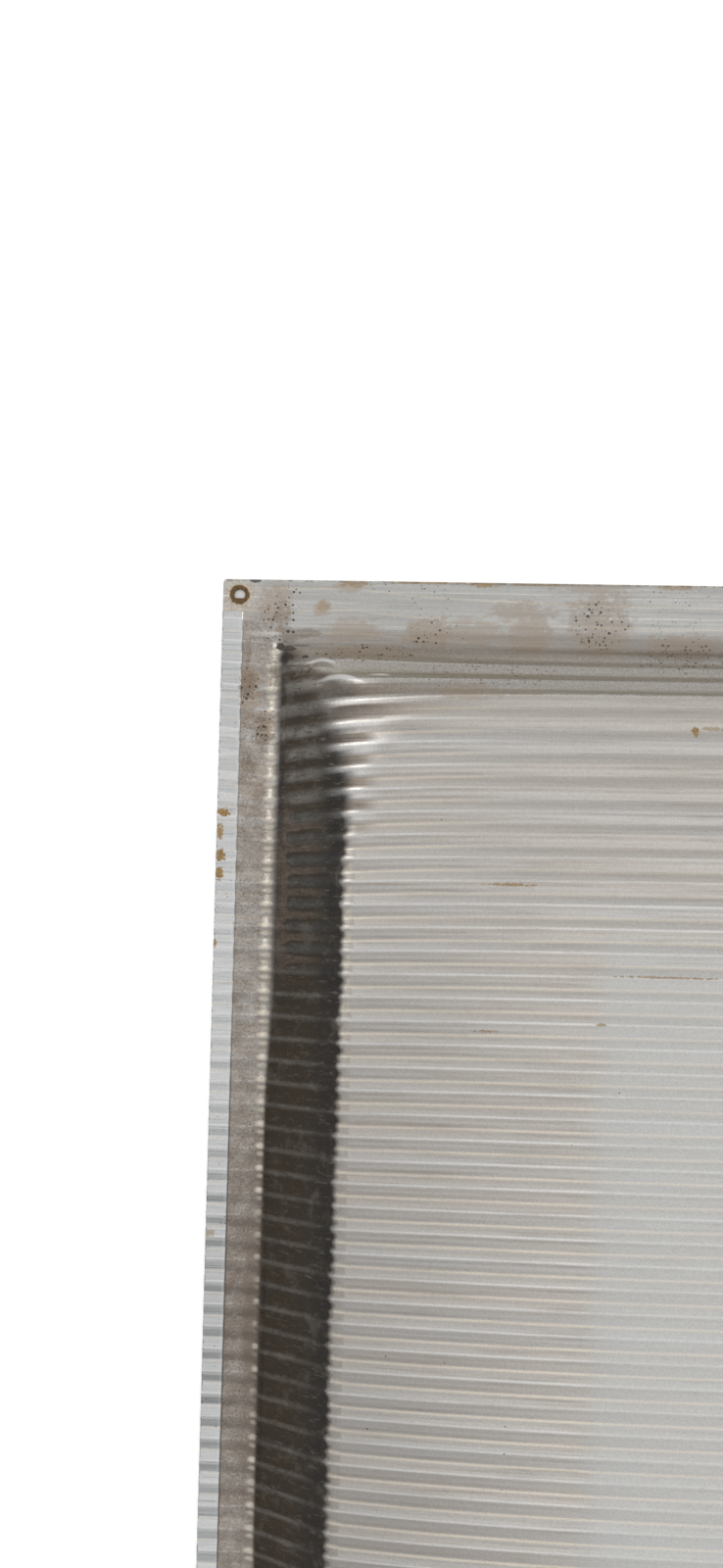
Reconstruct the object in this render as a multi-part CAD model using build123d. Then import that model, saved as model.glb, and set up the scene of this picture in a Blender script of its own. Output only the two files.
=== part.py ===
from build123d import *
import os
from math import exp, hypot, pi, sin, sqrt

# A facade panel pressed from one piece of ribbed aluminium sheet.
# Millimetres. The panel lies flat with its raised field up and its ribs along X.

# The sheet
panel_width = 1000.0
panel_length = 800.0
sheet_thickness = 1.5
sheet_corner_radius = 2.0

# The rolled ribs, counted from the end nearest to +Y. The valley is a little past half way.
rib_pitch = 12.0
rib_height = 1.0
first_crest = 9.2
valley_past_crest = 6.4
rib_left_on_side_wall = 0.6

# The pressed form: a flat rim, a sloping wall and a gently crowned field
side_rim = 29.5
end_rim = 35.0
side_wall = 43.0
end_wall = 31.0
field_height = 31.5
crown_rise = 10.5
crown_run = 165.0
bend_length = 3.5
shoulder_radius = 38.0

# At the corners of the field the shoulder bends more softly, and this fades out over the
# second length
corner_bend_length = 28.0
corner_bend_reach = 48.0

# The ribs come back to full height over this length past the end rims
rib_return = 10.0

# Between the side walls the press drew the end rims inward by this much,
# a change that builds up over the second length
rim_drawn_in = 8.5
draw_build_up = 60.0

# Near the corners the press dragged the ribs away from the ends along the foot of the side wall:
# how far, how far from the end it is strongest, and how far it reaches from there
foot_drag = 3.3
foot_drag_place = 85.0
foot_drag_reach = 65.0

# Fixing holes, one in each corner of the rim
hole_diameter = 6.0
hole_from_side = 9.0
hole_from_end = 8.5

half_width = panel_width / 2
half_length = panel_length / 2
corner_roundness = shoulder_radius / side_wall


def wall_share(side_inset, end_inset):
    """How far up the wall a point is: 0 at its foot, 1 at the shoulder, growing on over the field.

    The insets are measured from the foot. The foot has a sharp corner and the shoulder a round
    one, so the wall turns the corner as part of a cone.
    """
    u = side_inset / side_wall
    v = end_inset / end_wall
    centre = 1 + corner_roundness
    if min(u, v) <= 0 or max(u, v) >= centre * min(u, v):
        return min(u, v)
    along = centre * (u + v)
    square = 2 * centre**2 - corner_roundness**2
    return (along + sqrt(max(along**2 - square * (u * u + v * v), 0))) / square


def soft_ramp(value, bend):
    """Zero below 0 and the value itself above, with a round bend between."""
    if value <= -bend:
        return 0.0
    if value >= bend:
        return value
    return (value + bend) ** 2 / (4 * bend)


def crown_share(inset):
    """Zero at the shoulder, one where the crown levels off."""
    rest = max(0.0, 1 - max(inset, 0.0) / crown_run)
    return 1 - rest * rest


def shoulder_bend(side_inset, end_inset):
    """How far the shoulder's bend reaches to each side of it."""
    from_corner = hypot(max(side_inset - side_wall, 0.0), max(end_inset - end_wall, 0.0))
    softening = exp(-((from_corner / corner_bend_reach) ** 2))
    return bend_length + (corner_bend_length - bend_length) * softening


def form_height(x, y):
    """Height of the pressed form above the rim, without the ribs."""
    side_inset = half_width - abs(x) - side_rim
    end_inset = half_length - abs(y) - end_rim
    share = wall_share(side_inset, end_inset)
    foot = soft_ramp(share, bend_length / side_wall)
    shoulder = soft_ramp(share - 1, shoulder_bend(side_inset, end_inset) / side_wall)
    crown = crown_share(side_inset - side_wall) * crown_share(end_inset - end_wall)
    return field_height * (foot - shoulder) + crown_rise * crown


def up_side_wall(x):
    """0 on the side rim, 1 past the side wall."""
    return min(max((half_width - abs(x) - side_rim) / side_wall, 0.0), 1.0)


def rib_share(x, y):
    """How much of a rib's height is left: none on the end rims, less on the side walls."""
    past_end_rim = min(max((half_length - abs(y) - end_rim) / rib_return, 0.0), 1.0)
    return past_end_rim * (1 - (1 - rib_left_on_side_wall) * sin(pi * up_side_wall(x)))


def upright_thickness(x, y):
    """The sheet's thickness measured straight up, which is more on a slope."""
    step = 1.0
    slope_x = (form_height(x + step, y) - form_height(x - step, y)) / (2 * step)
    slope_y = (form_height(x, y + step) - form_height(x, y - step)) / (2 * step)
    return sheet_thickness * sqrt(1 + slope_x**2 + slope_y**2)


def rib_lines():
    """Every valley and crest line of the flat sheet, from the +Y end: its distance, 1 for a crest."""
    edge_gap = rib_pitch / 8
    crest = first_crest % rib_pitch - rib_pitch
    lines = []
    while crest < panel_length:
        lines += [(crest, 1), (crest + valley_past_crest, 0)]
        crest += rib_pitch
    return [line for line in lines if edge_gap < line[0] < panel_length - edge_gap]


def pressed_place(from_end):
    """Where a line of the flat sheet lies once it is pressed, both measured from the nearest end.

    The wall takes up as much sheet as its slant, so its ribs lie closer together in plan. The
    sheet comes from the rim, which was drawn in, and from the field, which was stretched.
    """
    foot_line = end_rim - rim_drawn_in
    shoulder_line = foot_line + hypot(end_wall, field_height)
    shoulder = end_rim + end_wall
    if from_end <= foot_line:
        return from_end + rim_drawn_in
    if from_end <= shoulder_line:
        return end_rim + (from_end - foot_line) * end_wall / (shoulder_line - foot_line)
    return shoulder + (from_end - shoulder_line) * (half_length - shoulder) / (half_length - shoulder_line)


def drawn_line(x, place):
    """The Y of a rib line: nearly straight along the sides, moved by the press between them."""
    from_side = half_width - abs(x)
    past_side_wall = max(from_side - side_rim - side_wall, 0.0)
    drawn = 1 - exp(-past_side_wall / draw_build_up)
    from_end = min(place, panel_length - place)
    moved = from_end + drawn * (pressed_place(from_end) - from_end)
    near_foot = min(from_side / side_rim, 1 - up_side_wall(x))
    moved += foot_drag * near_foot * exp(-(((from_end - foot_drag_place) / foot_drag_reach) ** 2))
    return half_length - moved if place < half_length else moved - half_length


def section(x):
    """The sheet's cross-section at one place along the ribs."""
    under = [(half_length, 0.0)]
    over = [(half_length, sheet_thickness)]
    for place, crest in rib_lines():
        y = drawn_line(x, place)
        height = form_height(x, y) + crest * rib_height * rib_share(x, y)
        under.append((y, height))
        over.append((y, height + upright_thickness(x, y)))
    under.append((-half_length, 0.0))
    over.append((-half_length, sheet_thickness))
    return Wire.make_polygon([Vector(x, y, z) for y, z in under + over[::-1]], close=True)


def section_places():
    """Where the form bends or curves along X, from one side of the panel to the other."""
    foot = side_rim
    shoulder = side_rim + side_wall
    from_side = [
        0.0,
        foot - bend_length,
        foot + bend_length,
        shoulder - corner_bend_length,
        shoulder - corner_bend_length / 2,
        shoulder - bend_length,
        shoulder + bend_length,
        shoulder + corner_bend_length / 2,
        shoulder + corner_bend_length,
        shoulder + crown_run / 2,
        shoulder + crown_run,
    ]
    left = [place - half_width for place in from_side]
    return left + [-x for x in reversed(left)]


def pressed_sheet():
    return Solid.make_loft([section(x) for x in section_places()], ruled=True)


cut_depth = 4 * sheet_thickness


def in_each_corner(from_side, from_end):
    return GridLocations(panel_width - 2 * from_side, panel_length - 2 * from_end, 2, 2).locations


def fixing_holes():
    cutter = Cylinder(hole_diameter / 2, cut_depth)
    return [place * cutter for place in in_each_corner(hole_from_side, hole_from_end)]


def corner_trimmings():
    """What is cut off to round the sheet's four corners."""
    side = 2 * sheet_corner_radius
    square = Box(side, side, cut_depth)
    round_part = Box(panel_width - side, panel_length, cut_depth)
    round_part += Box(panel_width, panel_length - side, cut_depth)
    for place in in_each_corner(sheet_corner_radius, sheet_corner_radius):
        round_part += place * Cylinder(sheet_corner_radius, cut_depth)
    return [place * square - round_part for place in in_each_corner(0, 0)]


panel_sheet = pressed_sheet() - fixing_holes() - corner_trimmings()

os.makedirs("parts", exist_ok=True)
export_step(panel_sheet, "parts/ribbed_panel_sheet.step")
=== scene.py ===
from math import ceil, exp, hypot, pi, radians, sin

import bmesh
import bpy
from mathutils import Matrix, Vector, noise


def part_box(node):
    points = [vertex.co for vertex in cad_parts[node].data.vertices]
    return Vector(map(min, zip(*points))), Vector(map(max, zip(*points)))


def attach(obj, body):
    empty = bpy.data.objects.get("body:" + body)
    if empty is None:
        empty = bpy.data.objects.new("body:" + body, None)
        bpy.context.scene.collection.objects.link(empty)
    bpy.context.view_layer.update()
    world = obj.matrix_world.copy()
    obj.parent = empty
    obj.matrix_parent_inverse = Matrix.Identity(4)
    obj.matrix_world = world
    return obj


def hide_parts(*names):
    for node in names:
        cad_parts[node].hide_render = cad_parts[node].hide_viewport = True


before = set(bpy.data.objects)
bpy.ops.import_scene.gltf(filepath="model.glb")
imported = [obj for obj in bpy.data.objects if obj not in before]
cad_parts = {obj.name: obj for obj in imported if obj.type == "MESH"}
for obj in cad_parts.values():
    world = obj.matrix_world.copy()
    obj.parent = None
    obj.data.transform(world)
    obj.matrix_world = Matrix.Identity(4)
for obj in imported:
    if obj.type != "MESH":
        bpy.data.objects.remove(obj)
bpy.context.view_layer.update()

mm = 0.001


# The pressed sheet. One piece of mill-finish aluminium sheet with rolled ribs, trimmed square,
# punched in its four corners and pressed over a low crowned form: a flat rim, a sloping wall
# and a gently domed field. The press has drawn the ribs of the end rims inward.
sheet_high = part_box("ribbed_panel_sheet")[1]
half_width = sheet_high.x
half_length = sheet_high.y
sheet_thickness = 1.5 * mm
sheet_corner_radius = 2 * mm

rib_pitch = 12 * mm
rib_height = 1.0 * mm
first_crest = 9.2 * mm
valley_past_crest = 6.4 * mm
crest_round = 0.9 * mm
valley_round = 0.6 * mm
rib_left_on_side_wall = 0.6
rib_left_on_end_rim = 0.2

side_rim = 29.5 * mm
end_rim = 35 * mm
side_wall = 43 * mm
end_wall = 31 * mm
field_height = 31.5 * mm
crown_rise = 10.5 * mm
crown_run = 165 * mm
bend_length = 3.5 * mm
shoulder_radius = 38 * mm
corner_bend_length = 28 * mm
corner_bend_reach = 48 * mm

# Where the press flattened, drew or dragged the ribs, and over what lengths that fades
rib_return = 10 * mm
rim_meeting = 10 * mm
flat_corner = 14 * mm
flat_corner_fade = 12 * mm
rim_drawn_in = 8.5 * mm
draw_build_up = 60 * mm
foot_drag = 3.3 * mm
foot_drag_place = 85 * mm
foot_drag_reach = 65 * mm

# How slack the thin sheet lies on the field, and how many waves that makes to the metre
slack_depth = 0.3 * mm
slack_waves_along = 9
slack_waves_across = 7
slack_pattern = 2.7

hole_radius = 3 * mm
hole_from_side = 9 * mm
hole_from_end = 8.5 * mm
hole_window = 5.9 * mm
longest_hole_edge = 2 * mm
sharp_edge = radians(50)


def share(value):
    """The value, held between 0 and 1."""
    return min(max(value, 0.0), 1.0)


def wall_share(side_inset, end_inset):
    """How far up the wall a point is, with a sharp corner at the foot and a round shoulder."""
    u = side_inset / side_wall
    v = end_inset / end_wall
    roundness = shoulder_radius / side_wall
    centre = 1 + roundness
    if min(u, v) <= 0 or max(u, v) >= centre * min(u, v):
        return min(u, v)
    along = centre * (u + v)
    square = 2 * centre**2 - roundness**2
    return (along + max(along**2 - square * (u * u + v * v), 0) ** 0.5) / square


def soft_ramp(value, bend):
    """Zero below 0 and the value itself above, with a round bend between."""
    if value <= -bend:
        return 0.0
    if value >= bend:
        return value
    return (value + bend) ** 2 / (4 * bend)


def crown_share(inset):
    """Zero at the shoulder, one where the crown levels off."""
    rest_of_run = max(0.0, 1 - max(inset, 0.0) / crown_run)
    return 1 - rest_of_run * rest_of_run


def corner_share(side_inset, end_inset):
    """1 at the field's corners, fading along the shoulder and over the field."""
    from_corner = hypot(max(side_inset - side_wall, 0.0), max(end_inset - end_wall, 0.0))
    return exp(-((from_corner / corner_bend_reach) ** 2))


def shoulder_bend(side_inset, end_inset):
    """How far the shoulder's bend reaches to each side of it: further at the field's corners."""
    return bend_length + (corner_bend_length - bend_length) * corner_share(side_inset, end_inset)


def form_height(x, y):
    """Height of the pressed form above the rim, without the ribs."""
    side_inset = half_width - abs(x) - side_rim
    end_inset = half_length - abs(y) - end_rim
    up_wall = wall_share(side_inset, end_inset)
    foot = soft_ramp(up_wall, bend_length / side_wall)
    shoulder = soft_ramp(up_wall - 1, shoulder_bend(side_inset, end_inset) / side_wall)
    crown = crown_share(side_inset - side_wall) * crown_share(end_inset - end_wall)
    return field_height * (foot - shoulder) + crown_rise * crown


def up_side_wall(x):
    """0 on the side rim, 1 past the side wall."""
    return share((half_width - abs(x) - side_rim) / side_wall)


def rib_share(x, y):
    """How much of a rib's height the press has left. The ribs stay high along the side rims, but
    are nearly flat on the end rims and flat in the panel's corners."""
    past_end_rim = share((half_length - abs(y) - end_rim) / rib_return)
    beyond_side_rim = share((half_width - abs(x) - side_rim) / rim_meeting + 1)
    along_side_rim = share((half_length - abs(y) - flat_corner) / flat_corner_fade)
    on_rim = rib_left_on_end_rim + (along_side_rim - rib_left_on_end_rim) * (1 - beyond_side_rim)
    left = on_rim + (1 - on_rim) * past_end_rim
    return left * (1 - (1 - rib_left_on_side_wall) * sin(pi * up_side_wall(x)))


def rib_profile(place):
    """Height share of the rolled section: straight flanks, round crests and tighter valleys."""
    past_crest = (place - first_crest) % rib_pitch
    flank = valley_past_crest if past_crest < valley_past_crest else rib_pitch - valley_past_crest
    from_crest = min(past_crest, rib_pitch - past_crest)
    from_valley = abs(past_crest - valley_past_crest)
    if from_crest < crest_round:
        return 1 - (from_crest**2 + crest_round**2) / (2 * crest_round * flank)
    if from_valley < valley_round:
        return (from_valley**2 + valley_round**2) / (2 * valley_round * flank)
    return from_valley / flank


def pressed_place(from_end):
    """Where a line of the flat sheet lies once pressed, both measured from the nearest end."""
    foot_line = end_rim - rim_drawn_in
    shoulder_line = foot_line + hypot(end_wall, field_height)
    shoulder = end_rim + end_wall
    if from_end <= foot_line:
        return from_end + rim_drawn_in
    if from_end <= shoulder_line:
        return end_rim + (from_end - foot_line) * end_wall / (shoulder_line - foot_line)
    stretch = (half_length - shoulder) / (half_length - shoulder_line)
    return shoulder + (from_end - shoulder_line) * stretch


def drawn_line(x, place):
    """The Y of a line of the flat sheet: nearly unmoved along the sides, drawn between them."""
    from_side = half_width - abs(x)
    drawn = 1 - exp(-max(from_side - side_rim - side_wall, 0.0) / draw_build_up)
    from_end = min(place, 2 * half_length - place)
    moved = from_end + drawn * (pressed_place(from_end) - from_end)
    near_foot = min(from_side / side_rim, 1 - up_side_wall(x))
    moved += foot_drag * near_foot * exp(-(((from_end - foot_drag_place) / foot_drag_reach) ** 2))
    return half_length - moved if place < half_length else moved - half_length


def upright_thickness(x, y):
    """The sheet's thickness measured straight up, which is more on a slope."""
    step = 1 * mm
    slope_x = (form_height(x + step, y) - form_height(x - step, y)) / (2 * step)
    slope_y = (form_height(x, y + step) - form_height(x, y - step)) / (2 * step)
    return sheet_thickness * (1 + slope_x**2 + slope_y**2) ** 0.5


def top_height(x, y, place):
    """The upper face of the sheet, a little slack on the raised field as thin sheet is."""
    form = form_height(x, y)
    waves = noise.noise(Vector((x * slack_waves_along, y * slack_waves_across, slack_pattern)))
    slack = slack_depth * form / (field_height + crown_rise) * (0.5 + waves)
    ribs = rib_height * rib_profile(place) * rib_share(x, y)
    return form + ribs + upright_thickness(x, y) - slack


# The grid's columns lie close together on the bends, and eight of its rows follow each rib.
columns_from_side = [
    0, 3.5, 6.2, 9, 11.8, 14.5, 19, 23, 26, 27.6, 29.2, 30.8, 33, 37, 43, 50, 55, 59, 62, 65, 67.5,
    69.5, 71.5, 73.5, 75.5, 78, 81, 84.5, 88.5, 94, 102, 113, 128, 148, 172, 198, 226, 260, 310,
    380, 440,
]
columns = [place * mm - half_width for place in columns_from_side]
columns += [0.0] + [-x for x in reversed(columns)]

round_steps = (-1, -1 / 3, 1 / 3, 1)
line_steps = [step * crest_round for step in round_steps]
line_steps += [valley_past_crest + step * valley_round for step in round_steps]
first_rib = -ceil((first_crest + rim_drawn_in) / rib_pitch)
last_rib = ceil((2 * half_length + rim_drawn_in - first_crest) / rib_pitch)
rows = [
    first_crest + rib * rib_pitch + step
    for rib in range(first_rib, last_rib + 1) for step in line_steps
]

sheet = bmesh.new()
bmesh.ops.create_grid(sheet, x_segments=len(columns) - 1, y_segments=len(rows) - 1, size=1)
sheet_place = sheet.verts.layers.float.new("sheet_place")
up_wall = sheet.verts.layers.float.new("up_wall")
near_corner = sheet.verts.layers.float.new("near_corner")
sheet.verts.ensure_lookup_table()
for vert in sheet.verts:
    row, column = divmod(vert.index, len(columns))
    vert[sheet_place] = rows[row]
    vert.co = (columns[column], drawn_line(columns[column], rows[row]), 0)
for end in (1, -1):
    everything = sheet.verts[:] + sheet.edges[:] + sheet.faces[:]
    bmesh.ops.bisect_plane(
        sheet, geom=everything, plane_co=(0, end * half_length, 0), plane_no=(0, end, 0),
        clear_outer=True,
    )


def punch_hole(centre):
    """Opens a round hole: a square window of the grid goes, and its edge grows in to a circle."""
    window = [
        face for face in sheet.faces
        if max(max(abs(v.co.x - centre.x), abs(v.co.y - centre.y)) for v in face.verts) < hole_window
    ]
    inside = set(window)
    edge = [e for face in window for e in face.edges if not inside.issuperset(e.link_faces)]
    bmesh.ops.delete(sheet, geom=window, context="FACES")
    long_edges = [e for e in edge if e.calc_length() > longest_hole_edge]
    cut = bmesh.ops.subdivide_edges(sheet, edges=long_edges, cuts=2)["geom_split"]
    edge = [e for e in edge if e.is_valid] + [e for e in cut if isinstance(e, bmesh.types.BMEdge)]
    ring = bmesh.ops.extrude_edge_only(sheet, edges=list(dict.fromkeys(edge)))["geom"]
    for vert in ring:
        if isinstance(vert, bmesh.types.BMVert):
            vert.co = centre + (vert.co - centre).normalized() * hole_radius
            vert[sheet_place] = half_length - vert.co.y


for side in (-1, 1):
    for end in (1, -1):
        hole_place = side * (half_width - hole_from_side), end * (half_length - hole_from_end), 0
        punch_hole(Vector(hole_place))

corner_sum = half_width + half_length - 0.1 * mm
corners = [vert for vert in sheet.verts if abs(vert.co.x) + abs(vert.co.y) > corner_sum]
bmesh.ops.bevel(
    sheet, geom=corners, offset=sheet_corner_radius, offset_type="OFFSET", affect="VERTICES",
    segments=4, profile=0.5, material=-1,
)
for vert in sheet.verts:
    x, y = vert.co.xy
    insets = half_width - abs(x) - side_rim, half_length - abs(y) - end_rim
    vert[up_wall] = wall_share(*insets)
    vert[near_corner] = corner_share(*insets)
    vert.co.z = top_height(x, y, vert[sheet_place])

upper = sheet.verts[:] + sheet.edges[:] + sheet.faces[:]
lower = bmesh.ops.extrude_face_region(sheet, geom=upper, use_keep_orig=True)["geom"]
for vert in lower:
    if isinstance(vert, bmesh.types.BMVert):
        vert.co.z -= upright_thickness(*vert.co.xy)
bmesh.ops.recalc_face_normals(sheet, faces=sheet.faces[:])
for face in sheet.faces:
    face.smooth = True
for edge in sheet.edges:
    edge.smooth = edge.calc_face_angle(0) < sharp_edge

sheet_mesh = bpy.data.meshes.new("pressed_ribbed_sheet")
sheet.to_mesh(sheet_mesh)
sheet.free()
pressed_sheet = bpy.data.objects.new("pressed_ribbed_sheet", sheet_mesh)
bpy.context.scene.collection.objects.link(pressed_sheet)


# The finish of the sheet. Mill aluminium that has hung outdoors: worn crests and pale salts along the
# valleys, both with a painted highlight, a brown film on the rim and walls, a clean strip where a
# cover lay along each side, haze from splashed water on the end rims, and rust from steel fixings
# and clips. Painted highlights and painted shade also lie on the bends, the foot and the rib flanks.
field_colour = (0.69, 0.65, 0.60, 1)
rubbed_colour = (0.665, 0.66, 0.635, 1)
clean_colour = (0.70, 0.70, 0.69, 1)
strip_colour = (0.91, 0.92, 0.915, 1)
end_rim_colour = (0.605, 0.60, 0.575, 1)
# Dull metal, and the colour of painted shade on the strip's rib flanks.
dull_and_shade_colour = (0.34, 0.35, 0.35, 1)
# The pale metal of worn crests and scratches, and the colour of painted highlights.
crest_and_highlight_colour = (0.93, 0.92, 0.90, 1)
# Pale salts, and the colour of painted highlights along the valleys, the foot and the shoulder.
salt_and_highlight_colour = (0.87, 0.79, 0.67, 1)
# The brown film, and the colour of painted shade over the shoulders.
film_and_shade_colour = (0.27, 0.215, 0.17, 1)
end_film_colour = (0.275, 0.235, 0.175, 1)
# The near-black film of the side walls, and the colour of painted shade under the corner's crescents.
wall_film_and_shade_colour = (0.096, 0.070, 0.044, 1)
# Bare wall metal, and the colour of painted highlights on the wall's crests.
bare_and_highlit_wall_colour = (0.42, 0.39, 0.35, 1)
# The tan of the painted reflections on the side walls.
wall_reflection_colour = (0.27, 0.205, 0.155, 1)
wall_sheen_colour = (0.145, 0.143, 0.132, 1)
haze_colour = (0.45, 0.33, 0.225, 1)
# Soot, and the colour of painted shade on the rim and of the dark lines in the walls' painted
# reflections.
soot_and_shade_colour = (0.018, 0.014, 0.011, 1)
stain_colour = (0.150, 0.105, 0.070, 1)
rust_colour = (0.45, 0.26, 0.070, 1)
dark_rust_colour = (0.060, 0.034, 0.018, 1)

weathered_aluminium = bpy.data.materials.new("weathered_aluminium")
weathered_aluminium.use_nodes = True
tree = weathered_aluminium.node_tree
shader = tree.nodes["Principled BSDF"]
coordinates = tree.nodes.new("ShaderNodeTexCoord").outputs["Object"]


def feed(socket, value):
    """Sets a socket to a value, or links another socket into it, in the tree now being made."""
    if isinstance(value, bpy.types.NodeSocket):
        tree.links.new(value, socket)
    else:
        socket.default_value = value


def calc(operation, *values):
    node = tree.nodes.new("ShaderNodeMath")
    node.operation = operation
    for socket, value in zip(node.inputs, values):
        feed(socket, value)
    return node.outputs[0]


def chained(operation, values):
    result = values[0]
    for value in values[1:]:
        result = calc(operation, result, value)
    return result


def plus(*values):
    return chained("ADD", values)


def product(*values):
    return chained("MULTIPLY", values)


def most(*values):
    return chained("MAXIMUM", values)


def rest(value):
    """What a share leaves of 1."""
    return calc("SUBTRACT", 1, value)


def ramp(value, slope, start):
    return calc("MULTIPLY_ADD", value, slope, start)


def sum_of_squares(across, along):
    return calc("MULTIPLY_ADD", across, across, product(along, along))


def fade(value, start, end):
    """0 before start and 1 past end, or the other way round where start is the larger."""
    node = tree.nodes.new("ShaderNodeMapRange")
    node.interpolation_type = "SMOOTHSTEP"
    feed(node.inputs["Value"], value)
    feed(node.inputs["From Min"], start)
    feed(node.inputs["From Max"], end)
    return node.outputs["Result"]


def band(value, start, end, softness):
    """1 between two places, with a soft edge on both sides."""
    return product(fade(value, start - softness, start), fade(value, end + softness, end))


def stored(name):
    """A value that is kept with the mesh's points."""
    node = tree.nodes.new("ShaderNodeAttribute")
    node.attribute_name = name
    return node.outputs["Fac"]


def mottle(vector, scale, detail=2.0, coarseness=0.5):
    node = tree.nodes.new("ShaderNodeTexNoise")
    feed(node.inputs["Vector"], vector)
    node.inputs["Scale"].default_value = scale
    node.inputs["Detail"].default_value = detail
    node.inputs["Roughness"].default_value = coarseness
    return node.outputs["Fac"]


def streaky(along_x, along_y, detail=2.0, coarseness=0.5):
    """Mottling drawn out one way, with about this many changes to the metre along X and Y."""
    node = tree.nodes.new("ShaderNodeVectorMath")
    node.operation = "MULTIPLY"
    feed(node.inputs[0], coordinates)
    node.inputs[1].default_value = (along_x, along_y, 0)
    return mottle(node.outputs[0], 1, detail, coarseness)


def specks(scale, radius, amount):
    """Small round specks in a share of the cells of a scattered pattern."""
    node = tree.nodes.new("ShaderNodeTexVoronoi")
    feed(node.inputs["Vector"], coordinates)
    node.inputs["Scale"].default_value = scale
    spread = tree.nodes.new("ShaderNodeSeparateColor")
    tree.links.new(node.outputs["Color"], spread.inputs[0])
    chosen = fade(spread.outputs[0], 1 - amount, 1 - amount * 0.7)
    size = product(spread.outputs[1], radius * scale)
    inside = fade(calc("SUBTRACT", node.outputs["Distance"], size), radius * scale * 0.3, 0)
    return product(inside, chosen)


def scaled(colour, factor):
    node = tree.nodes.new("ShaderNodeVectorMath")
    node.operation = "SCALE"
    feed(node.inputs[0], colour)
    feed(node.inputs["Scale"], factor)
    return node.outputs[0]


def tint(factor, under, over):
    node = tree.nodes.new("ShaderNodeMix")
    node.data_type = "RGBA"
    feed(node.inputs[0], factor)
    feed(node.inputs[6], under)
    feed(node.inputs[7], over)
    return node.outputs[2]


def layered(ground, *layers):
    """Lays colours over a ground, one after another, each by the share that comes with it."""
    for cover, colour_over in layers:
        ground = tint(cover, ground, colour_over)
    return ground


split = tree.nodes.new("ShaderNodeSeparateXYZ")
tree.links.new(coordinates, split.inputs["Vector"])
x_place, y_place = split.outputs["X"], split.outputs["Y"]
from_side = calc("SUBTRACT", half_width, calc("ABSOLUTE", x_place))
from_end = calc("SUBTRACT", half_length, calc("ABSOLUTE", y_place))
from_left_side = plus(x_place, half_width)
from_far_end = calc("SUBTRACT", half_length, y_place)

streaks = streaky(5, 1100, 3, 0.65)
fine_streaks = streaky(14, 420, 4, 0.7)
broad_streaks = streaky(3, 60, 3, 0.55)
patches = streaky(22, 16, 4, 0.62)
smudges = streaky(150, 420, 4, 0.7)
blotches = mottle(coordinates, 90, 3, 0.6)
fine_grime = mottle(coordinates, 900, 3, 0.75)

# Where a point lies in the rolled pattern, which wanders a little as rolls do.
wander = ramp(streaky(12, 160), 0.8 * mm, -0.4 * mm)
past_first_crest = plus(stored("sheet_place"), -first_crest, wander)
phase = calc("FRACT", calc("DIVIDE", past_first_crest, rib_pitch))
past_crest = product(phase, rib_pitch)


def off_lines(pattern, place):
    """The distance from the nearest of the lines that lie this far past each crest."""
    return calc("PINGPONG", plus(pattern, -place), rib_pitch / 2)


def line_at(place, reach, core):
    """1 along the line that lies this far past each crest, fading to nothing at the reach."""
    return fade(calc("ABSOLUTE", plus(past_crest, -place)), reach, core)


from_crest = off_lines(past_first_crest, 0)
crest_line = fade(from_crest, 0.85 * mm, 0.30 * mm)
# Along each valley, a pale line of salts with a painted highlight on it.
valley_line = line_at(valley_past_crest + 0.5 * mm, 0.95 * mm, 0.35 * mm)
above_valley = line_at(valley_past_crest - 1.4 * mm, 1.3 * mm, 0.4 * mm)
below_crest = line_at(1.8 * mm, 1.2 * mm, 0.3 * mm)
past_valley_line = line_at(valley_past_crest + 2.2 * mm, 1.6 * mm, 0.4 * mm)
upper_flank = product(fade(phase, 0.44, 0.74), fade(phase, 1.0, 0.90))

# The zones along the panel, counted from each end.
toward_end = fade(from_end, 290 * mm, 220 * mm)
upper_part = fade(from_end, 200 * mm, 80 * mm)
middle_part = product(fade(from_end, 270 * mm, 220 * mm), fade(from_end, 130 * mm, 165 * mm))
lower_part = fade(from_end, 240 * mm, 420 * mm)

# The zones of the pressed form. The dirt of the walls ends at the shoulder in a ragged line with
# a scallop at each rib, and further up the wall beside the field's corner.
up_wall_share = stored("up_wall")
corner = stored("near_corner")
beside_corner = product(corner, rest(corner))
on_field = fade(up_wall_share, ramp(corner, -0.35, 0.95), ramp(corner, 0.25, 1.05))
off_field = rest(on_field)
at_shoulder = band(up_wall_share, 0.99, 1.10, 0.05)
next_to_corner = product(
    fade(from_end, 155 * mm, 125 * mm), fade(from_end, 72 * mm, 84 * mm),
    fade(from_side, 94 * mm, 77 * mm),
)
scallop = product(
    fade(from_crest, 0.2 * mm, 3.2 * mm), ramp(line_at(7.0 * mm, 2.8 * mm, 0.2 * mm), -0.55, 1)
)
ragged_share = plus(
    ramp(lower_part, 0.03, ramp(scallop, -0.040, up_wall_share)), ramp(blotches, -0.12, 0.06)
)
above_foot = fade(up_wall_share, ramp(toward_end, 0.04, -0.01), ramp(toward_end, 0.07, 0.045))
below_shoulder = fade(
    ragged_share, ramp(beside_corner, 0.3, ramp(corner, 0.12, 1.01)),
    ramp(beside_corner, 0.42, ramp(corner, -0.435, 0.92)),
)
on_a_wall = product(above_foot, below_shoulder)
up_end_wall = calc("DIVIDE", plus(from_end, -end_rim), end_wall)
up_wall_at_side = calc("DIVIDE", plus(from_side, -side_rim), side_wall)
side_over_end = calc("SUBTRACT", up_end_wall, up_wall_at_side)
on_side_wall = product(on_a_wall, fade(side_over_end, -0.32, 0.05))
on_end_wall = product(on_a_wall, fade(side_over_end, 0.05, -0.32))

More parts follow.
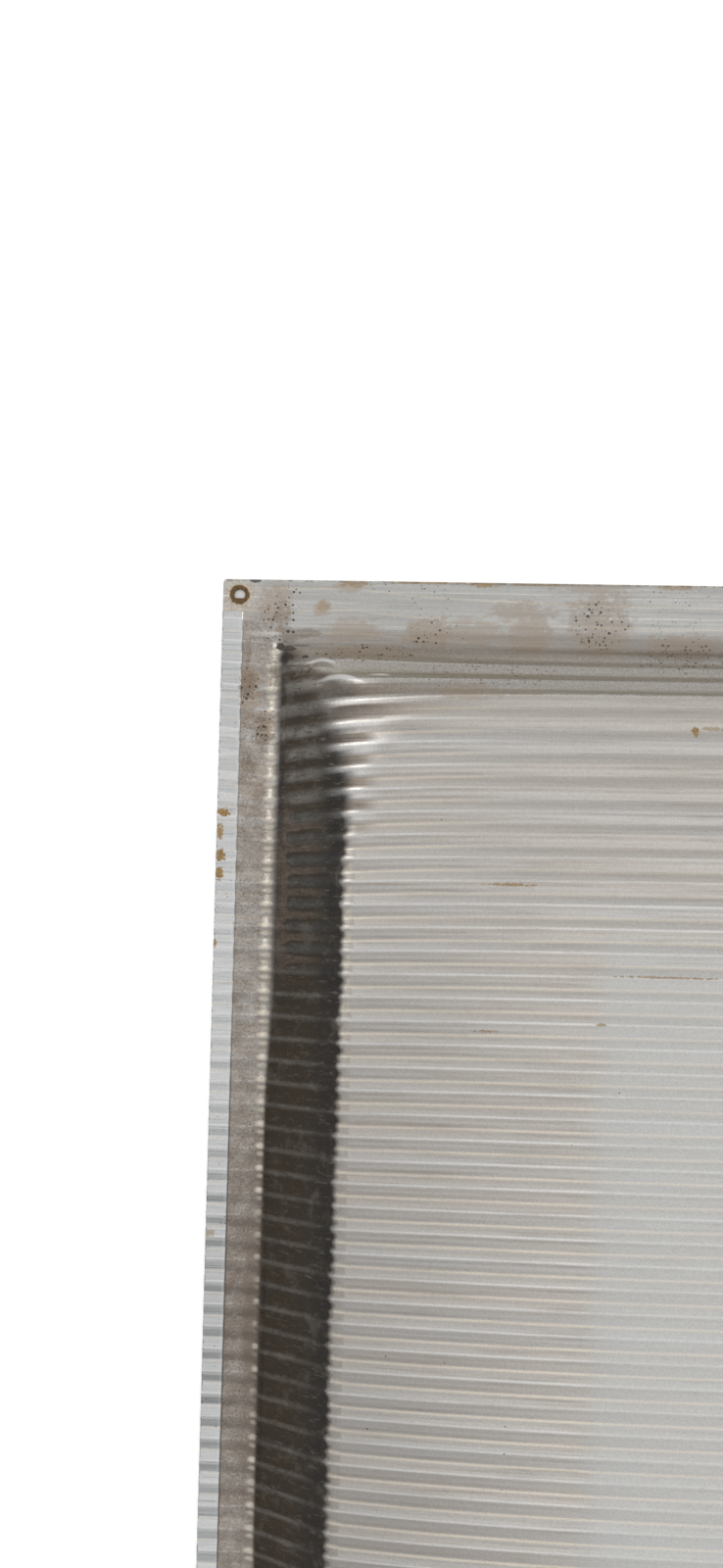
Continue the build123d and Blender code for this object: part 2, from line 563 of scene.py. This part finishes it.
# The zones of the rim, with the strip that a cover kept clean along each side edge.
cover_strip = 11 * mm
on_end_rim = product(
    fade(from_end, end_rim + 3 * mm, end_rim - 1 * mm), fade(from_side, 11 * mm, 26 * mm)
)
off_end_rim = rest(on_end_rim)
on_side_rim = product(
    fade(from_side, cover_strip, cover_strip + 0.4 * mm), fade(from_end, 12 * mm, 26 * mm),
    fade(from_side, side_rim + 5 * mm, side_rim + 2 * mm),
)
past_cover_end = fade(from_end, 17 * mm, 19 * mm)
in_cover_strip = product(
    fade(from_side, cover_strip + 0.2 * mm, cover_strip - 0.2 * mm), past_cover_end
)
cover_salt = product(
    band(from_side, cover_strip - 1.5 * mm, cover_strip - 0.3 * mm, 0.4 * mm), past_cover_end
)
cover_dirt = product(
    band(from_side, cover_strip, cover_strip + 0.6 * mm, 0.3 * mm), fade(from_end, 22 * mm, 30 * mm)
)
plain_metal = most(product(on_end_rim, 0.9), product(in_cover_strip, 0.9))

# Painted highlights where the ribs turn up the foot of the wall, two to each rib, and over its
# shoulder.
bead_foot = 28.8 * mm
bead_drift = ramp(
    fade(from_end, 120 * mm, 215 * mm), 1.5 * mm, ramp(lower_part, 0.9 * mm, -0.4 * mm)
)
past_bead = plus(past_first_crest, bead_drift)
off_foot = product(plus(from_side, -bead_foot), ramp(lower_part, 0.40, 0.40))


def bead_row(place, reach):
    """Round painted highlights at the foot, this far past each crest."""
    off_bead = calc("SQRT", sum_of_squares(off_lines(past_bead, place), off_foot))
    return fade(off_bead, reach, reach * 0.25)


second_beads = product(bead_row(4.4 * mm, 1.9 * mm), ramp(lower_part, -0.75, 1))
bead_strength = calc("MINIMUM", ramp(blotches, 2.6, product(lower_part, -1.05)), 1)
foot_beads = product(most(bead_row(0, 2.3 * mm), second_beads), most(bead_strength, 0))
foot_bend = fade(from_side, 27 * mm, 29.8 * mm)
foot_highlights = most(product(toward_end, band(from_side, 28.0 * mm, 30.4 * mm, 2.5 * mm), 0.22), foot_beads)
foot_highlights = product(foot_highlights, fade(from_end, 36 * mm, 44 * mm))
# Painted highlights on set lines of each rib as it goes over the shoulder.
shoulder_highlights = most(
    product(line_at(6.1 * mm, 1.8 * mm, 0.6 * mm), ramp(toward_end, -0.5, 0.7)),
    product(line_at(3.6 * mm, 2.2 * mm, 0.8 * mm), middle_part, 0.55),
    product(line_at(5.8 * mm, 2.0 * mm, 0.8 * mm), middle_part, 0.9),
    product(crest_line, 0.4),
)
# A painted highlight on a flank of each rib over the shoulder beside the field's corner.
corner_highlight = product(next_to_corner, line_at(2.4 * mm, 3.4 * mm, 1.4 * mm))

# Bare metal: paler where it was rubbed, bluish where it stayed covered, bright on the worn crests,
# which also carry a painted highlight.
rubbed_edge = plus(from_side, ramp(mottle(coordinates, 30, 3), 20 * mm, -10 * mm))
rubbed = product(fade(rubbed_edge, 196 * mm, 212 * mm), fade(from_end, 170 * mm, 215 * mm))
rib_lines_shown = most(fade(from_end, 120 * mm, 200 * mm), fade(from_side, 170 * mm, 110 * mm))
# Painted shade on the strip's rib flanks, with dull streaks; darker near the end and far along it.
strip_flank_shade = product(
    line_at(3.9 * mm, 2.6 * mm, 1.2 * mm), ramp(fade(from_end, 240 * mm, 370 * mm), 0.50, 0.22),
    ramp(broad_streaks, 1.4, 0.3),
)
strip_dullness_and_shade = most(
    strip_flank_shade, product(upper_flank, ramp(lower_part, 0.26, 0.12)),
    product(fade(fine_streaks, 0.48, 0.66), 0.62), product(fade(from_end, 200 * mm, 120 * mm), 0.30),
    product(lower_part, 0.42),
)
scratches = product(fade(streaks, 0.56, 0.68), most(on_end_rim, in_cover_strip), 0.6)
metal = layered(
    field_colour,
    (rubbed, rubbed_colour),
    (product(fade(broad_streaks, 0.42, 0.62), 0.5), clean_colour),
    (product(on_end_rim, 0.9), end_rim_colour),
    (in_cover_strip, strip_colour),
    (product(in_cover_strip, strip_dullness_and_shade), dull_and_shade_colour),
    (product(crest_line, off_end_rim, rib_lines_shown, ramp(rubbed, -0.45, 0.72)), crest_and_highlight_colour),
    (product(valley_line, off_field, 0.4), salt_and_highlight_colour),
    (product(valley_line, on_field, rib_lines_shown, ramp(rubbed, -0.35, 0.85)), salt_and_highlight_colour),
    (product(band(up_wall_share, 0.985, 1.07, 0.03), shoulder_highlights), salt_and_highlight_colour),
    (product(corner_highlight, 0.8), crest_and_highlight_colour),
    (product(fade(streaks, 0.44, 0.32), plain_metal, 0.5), dull_and_shade_colour),
    (most(scratches, product(cover_salt, 0.22)), crest_and_highlight_colour),
)

# The brown film, thin on the field, thick on the rim along the sides, in bands on the end walls.
streak_strength = ramp(streaks, 1.2, 0.4)
left_part = fade(from_side, 200 * mm, 100 * mm)
line_grime = most(
    product(below_crest, 0.14), product(above_valley, ramp(left_part, 0.22, 0.04)),
    product(past_valley_line, 0.15),
)
field_film = product(
    on_field, plus(product(fade(fine_streaks, 0.45, 0.75), 0.30), line_grime), ramp(rubbed, -0.7, 1)
)
rim_grime = plus(
    ramp(fine_grime, 2.8, -1.90), product(blotches, 1.1), smudges,
    product(lower_part, ramp(fade(from_side, 20 * mm, 25 * mm), 0.26, 0.30)),
)
# The rim's film stops short in the foot bend and under its painted highlights.
foot_film_gap = product(foot_bend, ramp(foot_beads, 0.75, ramp(lower_part, -0.45, 0.22)))
rim_film = product(on_side_rim, rim_grime, rest(foot_film_gap))
# Painted shade on the side rim's lower part: in the foot bend between the bright beads, and on a rib
# flank.
rim_shade = most(
    product(foot_bend, rest(foot_beads), 0.42), product(line_at(5.0 * mm, 4.0 * mm, 0.8 * mm), 0.30)
)
rim_shade = product(rim_shade, on_side_rim, lower_part)
end_rim_foot = product(
    band(from_end, 31 * mm, 38 * mm, 7 * mm), fade(from_side, 24 * mm, 34 * mm), 0.5
)
# Over the shoulder, painted shade on two lines of each rib's flanks.
shoulder_shade = most(
    product(line_at(9.1 * mm, 2.6 * mm, 1.0 * mm), 0.45),
    product(line_at(2.8 * mm, 2.4 * mm, 1.0 * mm), fade(from_end, 200 * mm, 260 * mm), 0.22),
)
shoulder_shade = product(shoulder_shade, at_shoulder)
corner_crest = off_lines(past_first_crest, 0.1 * mm)
corner_film = most(
    product(
        corner, fade(from_end, 100 * mm, 72 * mm),
        ramp(fade(corner_crest, 3.4 * mm, 1.3 * mm), -0.84, 0.90),
    ),
    product(next_to_corner, line_at(8.2 * mm, 3.4 * mm, 1.6 * mm), 0.85),
)
corner_film = product(corner_film, fade(up_wall_share, 0.45, 0.85))
film_and_shade = product(most(field_film, end_rim_foot, shoulder_shade, corner_film), streak_strength)
film_and_shade = most(film_and_shade, rim_film)
end_wall_film = product(
    on_end_wall, plus(ramp(upper_flank, 0.52, 0.12), ramp(fine_streaks, 0.5, -0.08))
)

# The side walls, nearly black with film. Near the ends it has worn off round the crests, which also
# carry a painted highlight, and a little further on the ribs carry painted reflections: tan bands
# between two dark lines, each round a paler tongue of painted sheen.
wall_crest = off_lines(past_first_crest, 1.2 * mm)
half_way_up = most(band(up_wall_share, 0.30, 0.60, 0.28), fade(from_end, 120 * mm, 80 * mm))
worn_and_highlit_crests = most(
    product(fade(from_crest, 2.2 * mm, 0.3 * mm), ramp(streaks, 0.6, 0.12)),
    product(
        upper_part, half_way_up, fade(wall_crest, 5.2 * mm, 0.8 * mm), ramp(fine_streaks, 1.2, 0.15)
    ),
)
tongue_edge = 3.4 * mm
reflection_band = product(band(from_end, 140 * mm, 200 * mm, 25 * mm), band(up_wall_share, 0.14, 0.88, 0.08))
uneven = product(blotches, 1.6, ramp(fine_grime, 1.4, 0.3))
short_of_tongue = most(ramp(up_wall_share, -side_wall, ramp(blotches, 14 * mm, 7 * mm)), 0)
off_tongue = plus(
    calc("SQRT", sum_of_squares(off_lines(past_first_crest, -0.65 * mm), short_of_tongue)),
    ramp(streaky(60, 260), 3 * mm, -1.5 * mm),
)
reflection_edge_lines = fade(calc("ABSOLUTE", plus(off_tongue, -tongue_edge)), 1.1 * mm, 0.2 * mm)
foot_soot = product(
    band(from_side, 33 * mm, 36 * mm, 2.5 * mm), fade(from_end, 30 * mm, 40 * mm),
    fade(blotches, 0.25, 0.55), ramp(fade(from_end, 330 * mm, 60 * mm), 0.5, 0.35),
)
wall_soot_and_shade = most(
    product(fade(fine_streaks, 0.42, 0.68), 0.5), product(fade(smudges, 0.48, 0.66), 0.75),
    product(fade(blotches, 0.48, 0.64), 0.55), product(reflection_band, reflection_edge_lines, uneven, 0.7), foot_soot,
    product(fade(up_wall_share, 0.32, 0.88), plus(blotches, 0.40)),
)
wall_bared = most(
    product(fade(smudges, 0.46, 0.30), 0.28), product(fade(blotches, 0.46, 0.30), 0.16)
)
wall_colour = layered(
    wall_film_and_shade_colour,
    (worn_and_highlit_crests, bare_and_highlit_wall_colour),
    (product(reflection_band, fade(off_tongue, tongue_edge, 5.2 * mm), uneven), wall_reflection_colour),
    (product(reflection_band, fade(off_tongue, tongue_edge, 1.0 * mm), uneven), wall_sheen_colour),
    (wall_soot_and_shade, soot_and_shade_colour),
    (wall_bared, bare_and_highlit_wall_colour),
)
crest_bared = product(
    corner, fade(corner_crest, 3.2 * mm, 1.0 * mm), fade(up_wall_share, 0.62, 1.0)
)
wall_cover = product(on_side_wall, ramp(crest_bared, -0.95, 0.97))
colour = layered(
    metal,
    (film_and_shade, scaled(film_and_shade_colour[:3], ramp(smudges, 1.1, 0.45))),
    (product(end_wall_film, streak_strength), end_film_colour),
    (foot_highlights, salt_and_highlight_colour),
    (most(wall_cover, product(foot_soot, 0.6)), wall_colour),
)
grain = product(plus(fine_grime, -0.5), ramp(on_field, -0.7, ramp(plain_metal, -0.9, 1.2)))
brushed = product(plus(fine_streaks, -0.5), plain_metal)
colour = scaled(colour, plus(grain, ramp(brushed, 0.8, 1)))


def ragged_patches(places, edge, raggedness):
    """Patches of dirt near the corner. Each place is, in mm, from the left side and from the far
    end, the reach across and along, and then the strength."""
    covered = 0.0
    for place_from_side, place_from_end, reach_across, reach_along, strength in places:
        across = calc("DIVIDE", plus(from_left_side, -place_from_side * mm), reach_across * mm)
        along = calc("DIVIDE", plus(from_far_end, -place_from_end * mm), reach_along * mm)
        reach = plus(sum_of_squares(across, along), -raggedness / 2)
        reach = calc("MULTIPLY_ADD", edge, raggedness, reach)
        covered = most(covered, product(fade(reach, 1.15, 0.5), strength))
    return covered


# Brown haze from splashed water, with dark specks in its thickest places, then soot with painted shade
# on the rim, and stains.
haze_places = [
    (29, 14, 9, 15, 0.9), (54, 15.5, 5, 4.5, 0.8), (68, 3.5, 8, 3, 0.7), (72, 27, 16, 7, 0.7),
    (113, 28, 14, 9, 0.9), (136, 27, 18, 8, 0.6), (163, 16, 18, 7, 0.7), (168, 27, 11, 13, 0.8),
    (205, 21, 18, 20, 0.75), (250, 34, 22, 8, 0.7), (16, 60, 6, 15, 1.0), (24, 80, 6, 10, 0.9),
    (19, 110, 8, 15, 0.5), (134, 64, 18, 5, 0.6), (80, 40, 26, 6, 0.7), (205, 2.5, 24, 3, 0.6),
]
speck_places = [
    (113, 28, 12, 7, 1.0), (205, 23, 16, 14, 0.6), (31, 24, 10, 13, 1.0), (36, 12, 8, 10, 0.8),
    (80, 40, 30, 6, 0.7), (250, 42, 26, 12, 0.5), (16, 60, 5, 16, 0.8), (24, 80, 5, 9, 0.9),
    (150, 52, 40, 10, 0.3),
]
soot_places = [
    (32.5, 36.8, 2.6, 2.2, 0.85), (36.5, 38.2, 4.5, 2.0, 0.75), (42, 36.2, 6, 0.8, 0.5),
    (46.5, 43.5, 2.0, 1.0, 0.8), (17.5, 0.6, 3.5, 1.2, 0.8), (36, 44, 4.5, 3.5, 0.5),
]
stain_places = [
    (15, 58, 4.5, 8, 0.7), (25, 82, 6, 9, 0.6), (33, 22, 5, 11, 0.45), (46, 29, 9, 2.5, 0.6),
    (37, 31, 6, 4, 0.6), (16, 105, 5, 10, 0.45), (29, 52, 2.5, 8, 0.7), (20, 140, 8, 16, 0.3),
    (250, 40, 30, 4, 0.3), (14, 40, 3, 8, 0.5),
]
haze_edge = streaky(130, 230, 6, 0.80)
past_places = most(fade(from_left_side, 280 * mm, 310 * mm), fade(y_place, 100 * mm, 0))
elsewhere = product(fade(patches, 0.56, 0.62), past_places, on_end_rim, 0.7)
haze = most(ragged_patches(haze_places, haze_edge, 6.5), elsewhere)
speck_zone = ragged_patches(speck_places, haze_edge, 3.0)
pits = specks(130, 0.42 * mm, 0.22)
dust = product(
    specks(560, 0.42 * mm, 0.7), most(product(fade(patches, 0.50, 0.62), off_field), speck_zone)
)
dark_specks = product(specks(460, 0.78 * mm, 0.9), fade(speck_zone, 0, 0.7))
edge_dirt = product(
    most(fade(from_side, 0.9 * mm, 0.3 * mm), fade(from_end, 1.4 * mm, 0.4 * mm)),
    fade(haze_edge, 0.46, 0.60),
)
soot_and_shade = most(
    product(pits, 0.8), product(dust, 0.7), product(dark_specks, 0.9), product(edge_dirt, 0.6),
    product(cover_dirt, ramp(toward_end, -0.3, 0.6)), ragged_patches(soot_places, haze_edge, 3.5),
    rim_shade,
)
stains = product(ragged_patches(stain_places, haze_edge, 6.0), ramp(fine_grime, 1.6, -0.2))

# Painted highlights where the first ribs turn over the field's corner, bright crescents each with a
# painted shade under it, then a bright scratch on the end wall and a painted highlight along a rib
# of the rim near the corner. Each is, in mm, from the left side and from the far end, its reach,
# thickness and sag, and then its strength.
crescents = crescent_shade = 0.0
for place_from_side, place_from_end, reach, thickness, sag, strength in [
    (56.0, 45.4, 9.0, 1.3, 3.4, 1.0), (66.0, 55.6, 15.0, 1.8, 4.4, 1.0),
    (86.5, 54.3, 7.5, 0.7, 0.3, 0.9), (22.0, 29.6, 13.0, 2.2, 0.0, 0.45),
]:
    across = calc("DIVIDE", plus(from_left_side, -place_from_side * mm), reach * mm)
    down = ramp(product(across, across), -sag * mm, plus(from_far_end, -place_from_end * mm))
    down = calc("DIVIDE", down, thickness * mm)
    ridge = fade(sum_of_squares(across, down), 1.0, 0.15)
    crescents = most(crescents, product(ridge, ramp(across, 0.7, 0.8), strength))
    underside = fade(sum_of_squares(across, ramp(down, 0.6, -1.3)), 1.0, 0.1)
    crescent_shade = most(crescent_shade, product(underside, ramp(across, -0.2, 0.5), min(sag / 3, 1)))
glints_and_scratch = product(crescents, ramp(fine_streaks, 0.6, 0.65))

# Rust: a washer's ring round each hole, and the marks of steel clips and crumbs.
washer_radius = 5.9 * mm
rust_places = [
    (3.6, 127.6, 4.2, 2.4, 0.95), (2.0, 138.5, 1.9, 4.6, 0.9), (2.4, 151.0, 2.6, 3.6, 0.95),
    (2.0, 161.5, 2.2, 4.0, 0.95), (0.6, 199.0, 1.0, 3.2, 0.8), (2.4, 355.8, 2.8, 2.0, 0.5),
    (142.6, 1.0, 9.0, 1.6, 0.7), (245.0, 1.2, 12.0, 1.6, 0.4), (110.0, 0.5, 22.0, 0.8, 0.6),
    (172.0, 0.5, 20.0, 0.8, 0.55), (72.0, 1.5, 9.0, 2.0, 0.55), (55.0, 14.0, 4.0, 3.2, 0.35),
    (251.6, 83.7, 2.2, 2.4, 0.9), (262.0, 82.0, 7.0, 1.2, 0.45), (158.0, 164.8, 13.0, 0.9, 0.65),
    (238.0, 210.4, 28.0, 0.6, 0.6), (147.0, 240.3, 7.0, 0.7, 0.6), (205.7, 235.3, 2.2, 0.8, 0.6),
    (9.0, 9.0, 8.5, 8.5, 0.3),
]
rust = ragged_patches(rust_places, mottle(coordinates, 520, 4, 0.7), 5.5)
rust_shade = tint(fade(fine_grime, 0.30, 0.50), dark_rust_colour, rust_colour)
off_hole = sum_of_squares(plus(from_side, -hole_from_side), plus(from_end, -hole_from_end))
from_washer = plus(calc("SQRT", off_hole), ramp(mottle(coordinates, 420, 3, 0.6), 2.6 * mm, -1.3 * mm))
washer_rust = fade(from_washer, washer_radius, washer_radius - 0.8 * mm)
washer_dark = fade(from_washer, washer_radius - 0.2 * mm, washer_radius - 1.0 * mm)

colour = layered(
    colour,
    (product(haze, ramp(fine_grime, 1.7, -0.30)), haze_colour),
    (soot_and_shade, soot_and_shade_colour),
    (stains, stain_colour),
    (crescent_shade, wall_film_and_shade_colour),
    (glints_and_scratch, crest_and_highlight_colour),
    (washer_rust, rust_colour),
    (washer_dark, dark_rust_colour),
    (rust, rust_shade),
)
# The share that is not bare metal: film, dirt and rust, and the painted marks of shade and light.
matt_share = most(
    product(film_and_shade, 0.7), product(crescent_shade, 0.8), product(end_wall_film, 0.7), product(haze, 0.35),
    product(wall_cover, ramp(wall_soot_and_shade, 0.5, 0.25)), soot_and_shade, rust, washer_rust,
    product(foot_highlights, 0.4), product(at_shoulder, shoulder_highlights, 0.6), product(corner_highlight, 0.6),
)
matt_share = product(matt_share, rest(glints_and_scratch))
feed(shader.inputs["Base Color"], colour)
feed(shader.inputs["Metallic"], rest(matt_share))
feed(shader.inputs["Roughness"], ramp(matt_share, 0.35, ramp(streaks, 0.12, 0.24)))

# The fine lines that the rolls left, and grime that stands up a little where it is thick.
relief = tree.nodes.new("ShaderNodeBump")
relief.inputs["Distance"].default_value = mm
relief.inputs["Strength"].default_value = 1.0
rolled_lines = product(streaks, 0.0105)
grime_relief = product(
    calc("SUBTRACT", off_field, plain_metal), plus(product(fine_grime, 0.012), product(blotches, 0.22))
)
feed(relief.inputs["Height"], plus(rolled_lines, grime_relief))
feed(shader.inputs["Normal"], relief.outputs["Normal"])
sheet_mesh.materials.append(weathered_aluminium)

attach(pressed_sheet, "root")
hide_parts("ribbed_panel_sheet")


# The studio. A plain pale floor of matt paper, a big soft light zone overhead, a dark flag on the
# left that the side wall mirrors, and two soft boxes on the upper left that catch the bends.
floor_side = 12
floor_gap = 0.2 * mm
floor_white = 0.55
floor_white_under_sheet = 0.15
bpy.ops.mesh.primitive_plane_add(size=floor_side, location=(0, 0, -floor_gap))
floor = bpy.context.object
floor.name = "studio_floor"
pale_paper = bpy.data.materials.new("pale_paper")
pale_paper.use_nodes = True
tree = pale_paper.node_tree
paper = tree.nodes["Principled BSDF"]
paper.inputs["Base Color"].default_value = (0.80, 0.80, 0.80, 1)
paper.inputs["Roughness"].default_value = 0.9
paper.inputs["Specular IOR Level"].default_value = 0.0
seen = tree.nodes.new("ShaderNodeLightPath")
lift = tree.nodes.new("ShaderNodeEmission")
lift.inputs["Color"].default_value = (1, 1, 1, 1)
floor_place = tree.nodes.new("ShaderNodeSeparateXYZ")
feed(floor_place.inputs["Vector"], tree.nodes.new("ShaderNodeTexCoord").outputs["Object"])
under_sheet = product(
    fade(calc("ABSOLUTE", floor_place.outputs["X"]), half_width, half_width - 2 * mm),
    fade(calc("ABSOLUTE", floor_place.outputs["Y"]), half_length, half_length - 2 * mm),
)
lift_share = ramp(under_sheet, floor_white_under_sheet - floor_white, floor_white)
feed(lift.inputs["Strength"], product(seen.outputs["Is Camera Ray"], lift_share))
both = tree.nodes.new("ShaderNodeAddShader")
feed(both.inputs[0], paper.outputs["BSDF"])
feed(both.inputs[1], lift.outputs["Emission"])
feed(tree.nodes["Material Output"].inputs["Surface"], both.outputs["Shader"])
floor.data.materials.append(pale_paper)

# The room: its light from left to right, a bright window overhead, a dark zone on the near left
# and an even grey on the far side.
room_levels = [
    (-1, 0.06), (-0.75, 0.45), (-0.5, 0.40), (-0.35, 0.50), (-0.2, 0.57), (-0.06, 0.66), (0.04, 0.70),
    (0.12, 0.80), (0.3, 0.84), (0.6, 0.62), (1, 1.0),
]
window_colour = (0.86, 0.86, 0.86, 1)
near_colour = (0.34, 0.34, 0.35, 1)
far_colour = (0.57, 0.57, 0.57, 1)
world = bpy.data.worlds.new("studio_room")
bpy.context.scene.world = world
world.use_nodes = True
tree = world.node_tree
direction = tree.nodes.new("ShaderNodeSeparateXYZ")
feed(direction.inputs["Vector"], tree.nodes.new("ShaderNodeTexCoord").outputs["Generated"])
across, away = direction.outputs["X"], direction.outputs["Y"]
shade = tree.nodes.new("ShaderNodeValToRGB")
feed(shade.inputs["Fac"], ramp(across, 0.5, 0.5))
stops = shade.color_ramp.elements
for place, level in room_levels[1:-1]:
    stops.new(place / 2 + 0.5)
for stop, (place, level) in zip(stops, room_levels):
    stop.color = (level, level, level, 1)
window = product(
    fade(away, -0.33, -0.20), fade(away, 0.14, 0.0), fade(across, -0.22, -0.04), fade(across, 0.5, 0.2)
)
room = layered(
    shade.outputs["Color"],
    (window, window_colour),
    (product(fade(away, -0.42, -0.62), fade(across, 0.1, -0.1)), near_colour),
    (fade(away, 0.24, 0.40), far_colour),
)
seen = tree.nodes.new("ShaderNodeLightPath")
backdrop = tint(seen.outputs["Is Camera Ray"], room, (1, 1, 1, 1))
feed(tree.nodes["Background"].inputs["Color"], backdrop)


def soft_box(name, place, target, width, height, watts):
    lamp = bpy.data.lights.new(name, "AREA")
    lamp.shape = "RECTANGLE"
    lamp.size = width
    lamp.size_y = height
    lamp.energy = watts
    lamp_object = bpy.data.objects.new(name, lamp)
    lamp_object.location = place
    lamp_object.rotation_mode = "QUATERNION"
    lamp_object.rotation_quaternion = (Vector(target) - Vector(place)).to_track_quat("-Z", "Y")
    lamp_object.visible_camera = False
    bpy.context.scene.collection.objects.link(lamp_object)


soft_box("box_upper_left", (-1.45, 1.81, 1.6), (-0.42, 0.35, 0), 0.6, 0.5, 2.8)
soft_box("box_left", (-1.80, 1.09, 1.70), (-0.42, 0.31, 0.04), 0.35, 1.1, 4.6)


# The camera. It looks almost straight down on the panel's left far corner, as the photograph does,
# with the photograph's optical axis below the middle of its frame.
photo_height = 1600
photo_axis_down = 908
photo_focal = 1539
sensor = 36
camera_from_side = 117.2 * mm
camera_from_end = 190 * mm
camera_height = 817.4 * mm
camera_turns = (1.59, 2.59, 1.44)
camera_data = bpy.data.cameras.new("photo_camera")
camera_data.sensor_width = sensor
camera_data.lens = photo_focal * sensor / photo_height
camera_data.shift_y = (photo_axis_down - photo_height / 2) / photo_height
camera = bpy.data.objects.new("photo_camera", camera_data)
camera.location = (-half_width + camera_from_side, half_length - camera_from_end, camera_height)
camera.rotation_euler = [radians(turn) for turn in camera_turns]
bpy.context.scene.collection.objects.link(camera)
bpy.context.scene.camera = camera
bpy.context.scene.view_settings.view_transform = "Standard"
